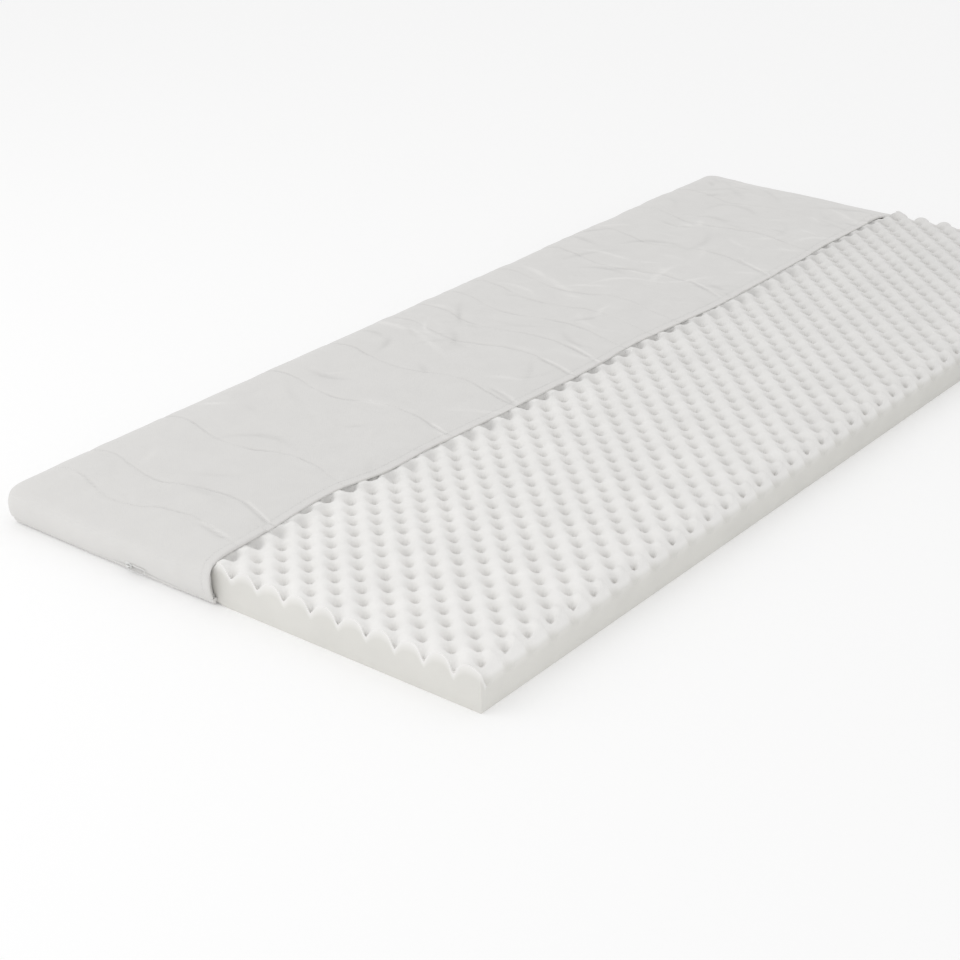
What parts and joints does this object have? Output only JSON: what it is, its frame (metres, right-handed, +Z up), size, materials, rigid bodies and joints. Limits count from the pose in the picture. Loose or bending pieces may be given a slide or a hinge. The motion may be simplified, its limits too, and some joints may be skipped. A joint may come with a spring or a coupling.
{
  "type": "mattress topper",
  "caption": "Egg-crate foam mattress topper for a single bed, half bare, half under a quilted cover cut open lengthwise and zipped along the bottom of one end.",
  "frame": {"origin": "middle of the underside of the box around the whole object", "axes": "+X across the bed towards the bare long side, +Y along the bed away from the end with the zip slider, +Z up"},
  "size_m": [0.9078, 2.0336, 0.0754],
  "materials": {
    "foam": "matt open-cell foam, off-white",
    "quilted_cloth": "soft knit, light warm grey, quilted",
    "base_cloth": "soft knit, light warm grey",
    "zip_tape": "woven tape, grey",
    "zip_metal": "silver-coloured, satin"
  },
  "bodies": {
    "root": {"foam_core": "foam", "cover_top": "quilted_cloth", "cover_base": "base_cloth", "zip_tape": "zip_tape", "zip_slider": "zip_metal", "zip_puller": "zip_metal"}
  },
  "joints": []
}
